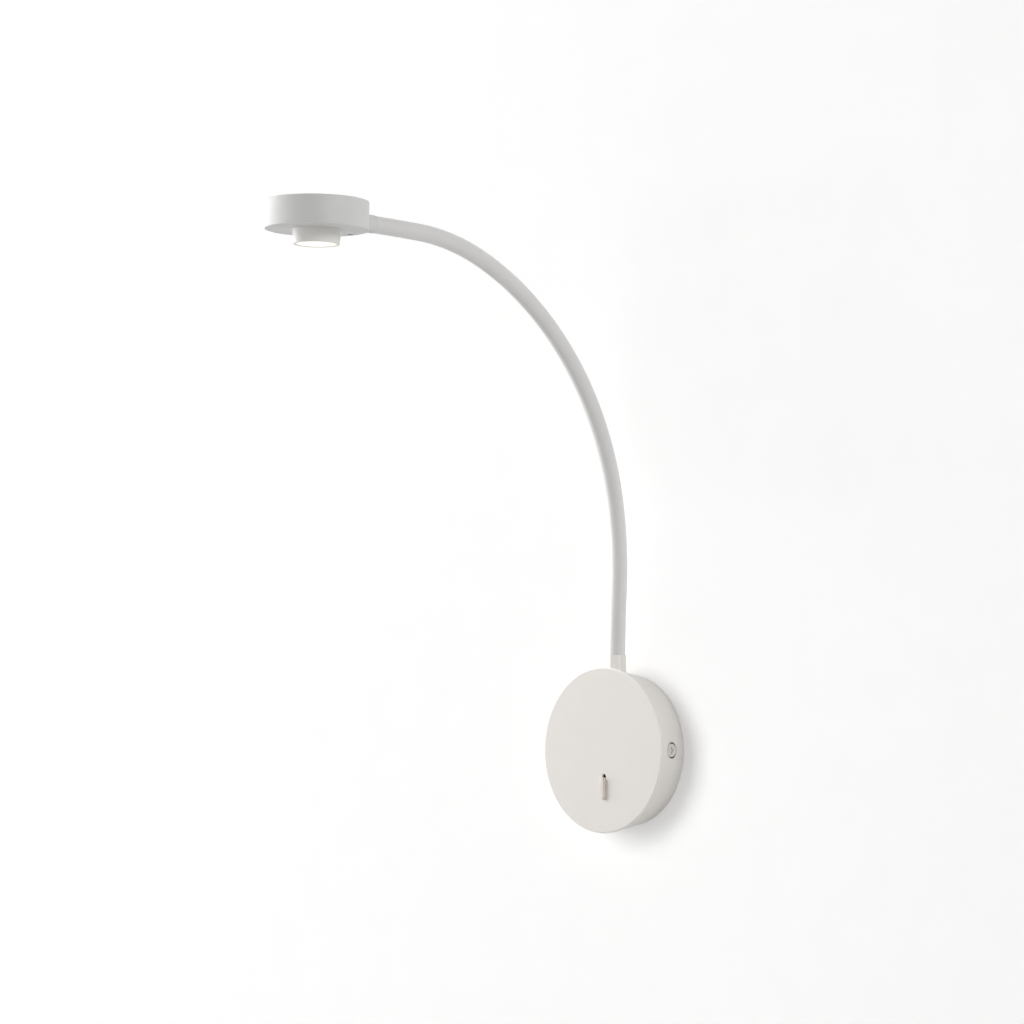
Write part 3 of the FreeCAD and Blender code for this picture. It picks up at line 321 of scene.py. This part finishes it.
def earthFinish():
    # Striped insulation above the bracket, tinned metal where the lug lies on it.
    material, tree, output = newMaterial("earthInsulation")
    point = objectPoint(tree)
    wave = addNode(tree, "ShaderNodeTexWave", {"wave_type": "BANDS", "bands_direction": "X"})
    wave.inputs["Scale"].default_value = earthLook["stripes"]
    wave.inputs["Distortion"].default_value = earthLook["wander"]
    tree.links.new(point, wave.inputs["Vector"])
    isYellow = compare(tree, wave.outputs["Fac"], earthLook["greenShare"])
    stripes = mixColour(tree, isYellow, earthLook["green"], earthLook["yellow"])
    separate = addNode(tree, "ShaderNodeSeparateXYZ")
    tree.links.new(point, separate.inputs["Vector"])
    isLug = compare(tree, separate.outputs["Y"], earthLook["lugFront"])
    colour = mixColour(tree, isLug, stripes, earthLook["tin"])
    roughness = spread(tree, noise(tree, point, earthLook["grain"]), *earthLook["rough"])
    shader = finishMaterial(tree, output, {}, colour, roughness)
    tree.links.new(isLug, shader.inputs["Metallic"])
    return material


boardLook = {
    "mask": (0.012, 0.13, 0.05), "copper": (0.03, 0.20, 0.08), "track": 420, "trackShare": 0.36,
    "rough": (0.28, 0.4), "grain": 700, "bump": (0.25, 0.00004),
}


def boardFinish():
    # Solder mask with the faint relief of the copper tracks under it.
    material, tree, output = newMaterial("solderMask")
    point = objectPoint(tree)
    cells = addNode(tree, "ShaderNodeTexVoronoi", {"distance": "CHEBYCHEV", "feature": "F1"})
    cells.inputs["Scale"].default_value = boardLook["track"]
    tree.links.new(point, cells.inputs["Vector"])
    tracks = compare(tree, cells.outputs["Distance"], boardLook["trackShare"])
    colour = mixColour(tree, tracks, boardLook["copper"], boardLook["mask"])
    roughness = spread(tree, noise(tree, point, boardLook["grain"]), *boardLook["rough"])
    finishMaterial(tree, output, {}, colour, roughness, bump(tree, tracks, *boardLook["bump"]))
    return material


lensLook = {
    "glow": (1.0, 0.995, 0.87), "edge": (0.46, 0.42, 0.34), "strength": 0.90, "body": (0.20, 0.20, 0.18),
    "radius": 0.0137, "edgeShare": (0.84, 0.99), "rough": 0.42, "grain": 2400, "bump": (0.1, 0.00003),
}


def lensFinish():
    # Opal plastic, lit from behind, warmer and dimmer at its edge.
    low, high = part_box("lens")
    middle = (low + high) / 2
    material, tree, output = newMaterial("litOpal")
    where = addNode(tree, "ShaderNodeTexCoord")
    away = addNode(tree, "ShaderNodeVectorMath", {"operation": "DISTANCE"})
    away.inputs[1].default_value = middle
    tree.links.new(where.outputs["Object"], away.inputs[0])
    rim = addNode(tree, "ShaderNodeMapRange", {"interpolation_type": "SMOOTHSTEP"})
    rim.inputs["From Min"].default_value = lensLook["radius"] * lensLook["edgeShare"][0]
    rim.inputs["From Max"].default_value = lensLook["radius"] * lensLook["edgeShare"][1]
    tree.links.new(away.outputs["Value"], rim.inputs["Value"])
    colour = mixColour(tree, rim.outputs["Result"], lensLook["glow"], lensLook["edge"])
    sockets = {"Roughness": lensLook["rough"], "Emission Strength": lensLook["strength"]}
    grain = noise(tree, where.outputs["Object"], lensLook["grain"])
    shader = finishMaterial(tree, output, sockets, lensLook["body"], normal=bump(tree, grain, *lensLook["bump"]))
    tree.links.new(colour, shader.inputs["Emission Color"])
    return material


finishes = {name: grainFinish(name) for name in grainLooks}
finishes["mainsInsulation"] = wireFinish("mainsInsulation")
finishes["lampInsulation"] = wireFinish("lampInsulation")
finishes["earthInsulation"] = earthFinish()
finishes["solderMask"] = boardFinish()
finishes["litOpal"] = lensFinish()
print("finishes made:", len(finishes))

# Which finish each kind of piece takes; the arm's own pieces follow further down.
nodeFinishes = {
    # Head pieces take a darker copy of the base paint: painted shade.
    "base_cover": "basePaint", "head_housing": "headPaintShaded", "head_base_plate": "headPaintShaded",
    # The nose collar takes a lighter copy of the paint: painted light.
    "nose_collar": "collarPaintLit", "arm_base_fitting": "basePaint", "arm_head_fitting": "headPaintShaded",
    "cover_side_screws": "paintedScrew", "switch_knob": "whitePlastic", "lens": "litOpal", "wall_bracket": "zincPlate",
    "cable_grommet": "blackRubber",
    "terminal_block": "naturalNylon", "terminal_screws": "terminalBrass", "earth_screw": "zincPlate",
    "earth_wire": "earthInsulation", "driver_case": "casePlastic", "driver_lid": "casePlastic",
    "driver_board": "solderMask", "driver_transformer": "coreTape", "driver_capacitor": "shrinkCan",
    "driver_screws": "zincPlate", "switch_body": "blackPlastic", "switch_screws": "zincPlate",
    "arm_lock_nut": "zincPlate", "arm_lock_washer": "zincPlate", "mains_wires": "mainsInsulation",
    "low_voltage_wires": "lampInsulation", "head_wires": "lampInsulation", "reflector": "mirrorFilm",
    "led_board": "whiteMask", "led_chip": "phosphor", "thermal_pad": "thermalPad", "heat_sink": "extrudedAlloy",
    "heat_sink_screws": "zincPlate", "led_board_screws": "zincPlate", "arm_clamp_screw": "blackOxide",
}


def dressNodes():
    for node, finish in nodeFinishes.items():
        piece = frame["nodes"][node]
        piece.data.materials.clear()
        piece.data.materials.append(finishes[finish])


dressNodes()
print("construction nodes dressed:", len(nodeFinishes))


# The arm's centre line is read from the joints.
armLine = {"startY": -0.011, "startZ": 0.052, "lastBendDeg": 1.6}
straightBend = 1e-9


def armStations():
    # Start point, heading from +Z towards -Y, bend and length of each arc between bending points.
    joints = [j for j in frame["joints"] if j["name"].startswith("arm_")]
    joints.sort(key=lambda j: int(j["name"].split("_")[-1]))
    points = [Vector((0, armLine["startY"], armLine["startZ"]))] + [Vector(j["pos_m"]) for j in joints]
    found = []
    heading = 0.0
    for here, there in zip(points, points[1:]):
        chord = there - here
        bend = 2 * (math.atan2(-chord.y, chord.z) - heading)
        length = chord.length * (bend / 2) / math.sin(bend / 2)
        found.append((here, heading, bend, length))
        heading += bend
    found.append((points[-1], heading, math.radians(armLine["lastBendDeg"]), length))
    return found


stations = armStations()
lengthEach = stations[0][3]


def armPoint(along):
    # A point on the centre line, counted in lengths from the arm's start.
    index = max(0, min(len(stations) - 1, int(along)))
    here, heading, bend, length = stations[index]
    share = along - index
    if abs(bend * share) < straightBend:
        return here.copy()
    chord = length * share * math.sin(bend * share / 2) / (bend * share / 2)
    direction = heading + bend * share / 2
    return here + Vector((0, -math.sin(direction), math.cos(direction))) * chord


armPieces = {
    "sleeve": {"node": "arm_sleeve_%d", "radius": 0.0055, "wall": 0.001, "sides": 56, "step": 0.0012,
               "ribPitch": 0.0, "ribHeight": 0.0, "finish": "sleeveRubber", "slot": "sleeve", "lines": (0.0,)},
    "hose": {"node": "arm_hose_%d", "radius": 0.0044, "wall": 0.0005, "sides": 32, "step": 0.0004,
             "ribPitch": 0.0026, "ribHeight": 0.0005, "finish": "springStrip", "slot": "hose_steel",
             "lines": (0.0,)},
    "wires": {"node": "arm_wires_%d", "radius": 0.0009, "wall": 0.0, "sides": 16, "step": 0.0012,
              "ribPitch": 0.0, "ribHeight": 0.0, "finish": "lampInsulation", "slot": "wire_pale",
              "lines": (-0.0013, 0.0013)},
    "startTrim": {"sleeve": 0.0031, "hose": 0.0031, "wires": -0.012},
    "endTrim": {"sleeve": 0.0011, "hose": 0.0011, "wires": 0.0},
    "creaseDeg": 40,
}


def tubeTree():
    # Sweeps a ring along a line of edges, with optional ribs across it.
    tree = bpy.data.node_groups.new("tubeAlongLine", "GeometryNodeTree")
    face = tree.interface
    face.new_socket("Geometry", in_out="INPUT", socket_type="NodeSocketGeometry")
    for label, kind in (("Radius", "NodeSocketFloat"), ("Sides", "NodeSocketInt"),
                        ("Rib Pitch", "NodeSocketFloat"), ("Rib Height", "NodeSocketFloat"),
                        ("Closed Ends", "NodeSocketBool"), ("Finish", "NodeSocketMaterial")):
        face.new_socket(label, in_out="INPUT", socket_type=kind)
    face.new_socket("Geometry", in_out="OUTPUT", socket_type="NodeSocketGeometry")
    start = tree.nodes.new("NodeGroupInput")
    end = tree.nodes.new("NodeGroupOutput")
    toCurve = tree.nodes.new("GeometryNodeMeshToCurve")
    place = tree.nodes.new("GeometryNodeSplineParameter")
    capture = tree.nodes.new("GeometryNodeCaptureAttribute")
    capture.domain = "POINT"
    capture.capture_items.new("FLOAT", "Along")
    ring = tree.nodes.new("GeometryNodeCurvePrimitiveCircle")
    sweep = tree.nodes.new("GeometryNodeCurveToMesh")
    phase = tree.nodes.new("ShaderNodeMath")
    phase.operation = "DIVIDE"
    turns = tree.nodes.new("ShaderNodeMath")
    turns.operation = "MULTIPLY"
    turns.inputs[1].default_value = 2 * math.pi
    wave = tree.nodes.new("ShaderNodeMath")
    wave.operation = "COSINE"
    lowered = tree.nodes.new("ShaderNodeMath")
    lowered.operation = "SUBTRACT"
    lowered.inputs[1].default_value = 1.0
    depth = tree.nodes.new("ShaderNodeMath")
    depth.operation = "MULTIPLY"
    half = tree.nodes.new("ShaderNodeMath")
    half.operation = "MULTIPLY"
    half.inputs[1].default_value = 0.5
    normal = tree.nodes.new("GeometryNodeInputNormal")
    push = tree.nodes.new("ShaderNodeVectorMath")
    push.operation = "SCALE"
    move = tree.nodes.new("GeometryNodeSetPosition")
    smooth = tree.nodes.new("GeometryNodeSetShadeSmooth")
    real = tree.nodes.new("GeometryNodeRealizeInstances")
    finish = tree.nodes.new("GeometryNodeSetMaterial")
    link = tree.links.new
    link(start.outputs["Geometry"], toCurve.inputs["Mesh"])
    link(toCurve.outputs["Curve"], capture.inputs["Geometry"])
    link(place.outputs["Length"], capture.inputs["Along"])
    link(capture.outputs["Geometry"], sweep.inputs["Curve"])
    link(start.outputs["Radius"], ring.inputs["Radius"])
    link(start.outputs["Sides"], ring.inputs["Resolution"])
    link(ring.outputs["Curve"], sweep.inputs["Profile Curve"])
    link(start.outputs["Closed Ends"], sweep.inputs["Fill Caps"])
    link(capture.outputs["Along"], phase.inputs[0])
    link(start.outputs["Rib Pitch"], phase.inputs[1])
    link(phase.outputs[0], turns.inputs[0])
    link(turns.outputs[0], wave.inputs[0])
    link(wave.outputs[0], lowered.inputs[0])
    link(lowered.outputs[0], depth.inputs[0])
    link(start.outputs["Rib Height"], depth.inputs[1])
    link(depth.outputs[0], half.inputs[0])
    link(normal.outputs["Normal"], push.inputs[0])
    link(half.outputs[0], push.inputs["Scale"])
    link(sweep.outputs["Mesh"], move.inputs["Geometry"])
    link(push.outputs["Vector"], move.inputs["Offset"])
    link(move.outputs["Geometry"], smooth.inputs["Geometry"])
    link(smooth.outputs["Geometry"], real.inputs["Geometry"])
    link(real.outputs["Geometry"], finish.inputs["Geometry"])
    link(start.outputs["Finish"], finish.inputs["Material"])
    link(finish.outputs["Geometry"], end.inputs["Geometry"])
    return tree


armTree = tubeTree()


def setInput(modifier, label, value):
    for item in modifier.node_group.interface.items_tree:
        if item.item_type == "SOCKET" and item.in_out == "INPUT" and item.name == label:
            modifier[item.identifier] = value


def markSharpEdges(mesh, degrees):
    # Smooth faces, with a crease kept where two faces meet at more than this angle.
    for polygon in mesh.polygons:
        polygon.use_smooth = True
    normals = {}
    for polygon in mesh.polygons:
        for key in polygon.edge_keys:
            normals.setdefault(key, []).append(polygon.normal)
    limit = math.radians(degrees)
    sharp = mesh.attributes.get("sharp_edge") or mesh.attributes.new("sharp_edge", "BOOLEAN", "EDGE")
    for edge in mesh.edges:
        sides = normals.get(tuple(sorted(edge.vertices)), [])
        sharp.data[edge.index].value = len(sides) == 2 and sides[0].angle(sides[1], 0.0) > limit


def bakeModifiers(piece, name):
    # The evaluated shape as a plain mesh with no modifiers left.
    graph = bpy.context.evaluated_depsgraph_get()
    mesh = bpy.data.meshes.new_from_object(piece.evaluated_get(graph))
    mesh.name = name
    piece.modifiers.clear()
    piece.data = mesh
    return piece


def armPiece(kind, joint, jointCount):
    # One piece per bending point: from the middle of the length before to the middle of the length after.
    look = armPieces[kind]
    first = joint == 1
    last = joint == jointCount
    low = armPieces["startTrim"][kind] / lengthEach if first else joint - 0.5
    high = jointCount + 1 - armPieces["endTrim"][kind] / lengthEach if last else joint + 0.5
    count = round((high - low) * lengthEach / look["step"])
    vertices = []
    edges = []
    for offset in look["lines"]:
        base = len(vertices)
        for index in range(count + 1):
            vertices.append(armPoint(low + (high - low) * index / count) + Vector((offset, 0, 0)))
        edges += [(base + index, base + index + 1) for index in range(count)]
    name = "arm%s%d" % (kind.capitalize(), joint)
    line = bpy.data.meshes.new(name)
    line.from_pydata(vertices, edges, [])
    piece = bpy.data.objects.new(name, line)
    bpy.context.scene.collection.objects.link(piece)
    modifier = piece.modifiers.new("tube", "NODES")
    modifier.node_group = armTree
    for label, value in (("Radius", look["radius"]), ("Sides", look["sides"]),
                         ("Rib Pitch", look["ribPitch"] or 1.0), ("Rib Height", look["ribHeight"]),
                         ("Closed Ends", look["wall"] == 0.0), ("Finish", finishes[look["finish"]])):
        setInput(modifier, label, value)
    if look["wall"]:
        wall = piece.modifiers.new("wall", "SOLIDIFY")
        wall.thickness = look["wall"]
        wall.offset = -1.0
    bakeModifiers(piece, name)
    markSharpEdges(piece.data, armPieces["creaseDeg"])
    armPoint(joint - 0.5)
    armPoint(joint + 0.5)
    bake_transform(piece)
    nodes = [look["node"] % joint] + ([look["node"] % 0] if first else [])
    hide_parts(*nodes)
    return piece


def makeArm():
    jointCount = len(stations) - 1
    made = []
    for kind in ("sleeve", "hose", "wires"):
        for joint in range(1, jointCount + 1):
            made.append(armPiece(kind, joint, jointCount))
    return made


print("arm pieces made:", len(makeArm()))

stage = {
    "wallGap": 0.0004, "wallHalf": 6.0, "holeRadius": 0.0485, "holeSides": 64, "floorZ": -0.75, "depth": 6.0,
    "wall": (0.90, 0.90, 0.90), "floor": (0.86, 0.86, 0.85), "lift": 0.21, "mottle": 30, "dimmer": 0.985,
}


def stageFinish(name, tone, lift):
    # Pale matt paint. From behind it is clear, so that the lamp can be looked at from there.
    material, tree, output = newMaterial(name)
    point = objectPoint(tree)
    fine = noise(tree, point, stage["mottle"], patchDetail)
    dimmer = tuple(stage["dimmer"] * part for part in tone)
    colour = mixColour(tree, spread(tree, fine, 0.0, 1.0), tone, dimmer)
    diffuse = addNode(tree, "ShaderNodeBsdfDiffuse")
    tree.links.new(colour, diffuse.inputs["Color"])
    glow = addNode(tree, "ShaderNodeEmission")
    glow.inputs["Strength"].default_value = lift
    path = addNode(tree, "ShaderNodeLightPath")
    both = addNode(tree, "ShaderNodeAddShader")
    tree.links.new(diffuse.outputs["BSDF"], both.inputs[0])
    tree.links.new(glow.outputs["Emission"], both.inputs[1])
    lifted = addNode(tree, "ShaderNodeMixShader")
    tree.links.new(path.outputs["Is Camera Ray"], lifted.inputs["Fac"])
    tree.links.new(diffuse.outputs["BSDF"], lifted.inputs[1])
    tree.links.new(both.outputs["Shader"], lifted.inputs[2])
    clear = addNode(tree, "ShaderNodeBsdfTransparent")
    facing = addNode(tree, "ShaderNodeNewGeometry")
    oneSided = addNode(tree, "ShaderNodeMixShader")
    tree.links.new(facing.outputs["Backfacing"], oneSided.inputs["Fac"])
    tree.links.new(lifted.outputs["Shader"], oneSided.inputs[1])
    tree.links.new(clear.outputs["BSDF"], oneSided.inputs[2])
    tree.links.new(oneSided.outputs["Shader"], output.inputs["Surface"])
    return material


def makePlane(name, corners, material):
    mesh = bpy.data.meshes.new(name)
    mesh.from_pydata(corners, [], [(0, 1, 2, 3)])
    plane = bpy.data.objects.new(name, mesh)
    mesh.materials.append(material)
    bpy.context.scene.collection.objects.link(plane)
    return plane


def makeWall(half, wallY, material):
    # Open behind the base, where the base hides it, so that light reaches the base's back.
    count = stage["holeSides"]
    corners = []
    for index in range(count):
        turn = 2 * math.pi * index / count
        across, up = math.cos(turn), math.sin(turn)
        reach = half / max(abs(across), abs(up))
        corners.append((stage["holeRadius"] * across, wallY, stage["holeRadius"] * up))
        corners.append((reach * across, wallY, reach * up))
    faces = [(2 * index, 2 * index + 1, (2 * index + 3) % (2 * count), (2 * index + 2) % (2 * count))
             for index in range(count)]
    mesh = bpy.data.meshes.new("wall")
    mesh.from_pydata(corners, [], faces)
    if mesh.polygons[0].normal.y > 0:
        mesh.flip_normals()
    wall = bpy.data.objects.new("wall", mesh)
    mesh.materials.append(material)
    bpy.context.scene.collection.objects.link(wall)


def makeRoom():
    half = stage["wallHalf"]
    wallY = stage["wallGap"]
    floorZ = stage["floorZ"]
    makeWall(half, wallY, stageFinish("wallPaint", stage["wall"], stage["lift"]))
    makePlane("floor", [(-half, -stage["depth"], floorZ), (half, -stage["depth"], floorZ), (half, wallY, floorZ),
                        (-half, wallY, floorZ)],
              stageFinish("floorPaint", stage["floor"], stage["lift"]))


lights = {
    "world": {"colour": (1.0, 1.0, 1.0), "strength": 0.26, "seen": 0.9},
    "key": {"at": (-2.0, -1.6, 1.4), "size": 1.0, "power": 49.0, "colour": (1.0, 1.0, 1.0)},
    "side": {"at": (-2.6, -0.75, 0.3), "size": 0.9, "power": 29.0, "colour": (1.0, 1.0, 1.0)},
    "fill": {"at": (2.6, -0.15, 1.15), "size": 0.6, "power": 26.0, "colour": (1.0, 1.0, 1.0)},
    "front": {"at": (0.7, -2.7, 0.6), "size": 0.8, "power": 4.0, "colour": (1.0, 1.0, 1.0)},
    "backdrop": {"at": (-1.7, -4.4, 1.2), "size": 3.2, "power": 132.0, "colour": (1.0, 1.0, 1.0)},
    "behind": {"at": (0.9, 2.6, 0.7), "size": 0.9, "power": 40.0, "colour": (1.0, 1.0, 1.0)},
    "aim": (0.0, -0.12, 0.12),
    "broad": ("base", "head", "nose", "switch"),      # first words of the pieces that shade the wall
}


def litCollection(name, wanted):
    # A named set of meshes, for a light that falls on those alone or is blocked by those alone.
    group = bpy.data.collections.new(name)
    for piece in bpy.data.objects:
        if piece.type == "MESH" and wanted(piece.name):
            group.objects.link(piece)
    return group


def showPaleSky(tree, sky):
    # What the camera and the shiny parts see of the world is paler than the light it gives.
    path = addNode(tree, "ShaderNodeLightPath")
    either = addNode(tree, "ShaderNodeMath", {"operation": "MAXIMUM"})
    anySeen = addNode(tree, "ShaderNodeMath", {"operation": "MAXIMUM"})
    seen = addNode(tree, "ShaderNodeBackground")
    seen.inputs["Strength"].default_value = lights["world"]["seen"]
    mixed = addNode(tree, "ShaderNodeMixShader")
    tree.links.new(path.outputs["Is Camera Ray"], either.inputs[0])
    tree.links.new(path.outputs["Is Glossy Ray"], either.inputs[1])
    tree.links.new(either.outputs["Value"], anySeen.inputs[0])
    tree.links.new(path.outputs["Is Transmission Ray"], anySeen.inputs[1])
    tree.links.new(anySeen.outputs["Value"], mixed.inputs["Fac"])
    tree.links.new(sky.outputs["Background"], mixed.inputs[1])
    tree.links.new(seen.outputs["Background"], mixed.inputs[2])
    tree.links.new(mixed.outputs["Shader"], tree.nodes["World Output"].inputs["Surface"])


def makeLights():
    world = bpy.data.worlds.new("paleRoom")
    world.use_nodes = True
    sky = world.node_tree.nodes["Background"]
    sky.inputs["Color"].default_value = (*lights["world"]["colour"], 1.0)
    sky.inputs["Strength"].default_value = lights["world"]["strength"]
    showPaleSky(world.node_tree, sky)
    bpy.context.scene.world = world
    lampPieces = litCollection("lampPieces", lambda name: name not in ("wall", "floor"))
    roomPlanes = litCollection("roomPlanes", lambda name: name in ("wall", "floor"))
    broadPieces = litCollection("broadPieces", lambda name: name.split("_")[0] in lights["broad"])
    for name in ("key", "side", "fill", "front", "backdrop", "behind"):
        look = lights[name]
        data = bpy.data.lights.new(name, "AREA")
        data.size = look["size"]
        data.energy = look["power"]
        data.color = look["colour"]
        softbox = bpy.data.objects.new(name, data)
        softbox.location = look["at"]
        aim = Vector(lights["aim"]) - Vector(look["at"])
        softbox.rotation_euler = aim.to_track_quat("-Z", "Y").to_euler()
        bpy.context.scene.collection.objects.link(softbox)
        softbox.light_linking.receiver_collection = roomPlanes if name == "backdrop" else lampPieces
        if name == "backdrop":
            softbox.light_linking.blocker_collection = broadPieces      # the thin arm leaves no shadow in the photo


makeRoom()
makeLights()
print("room and lights made")
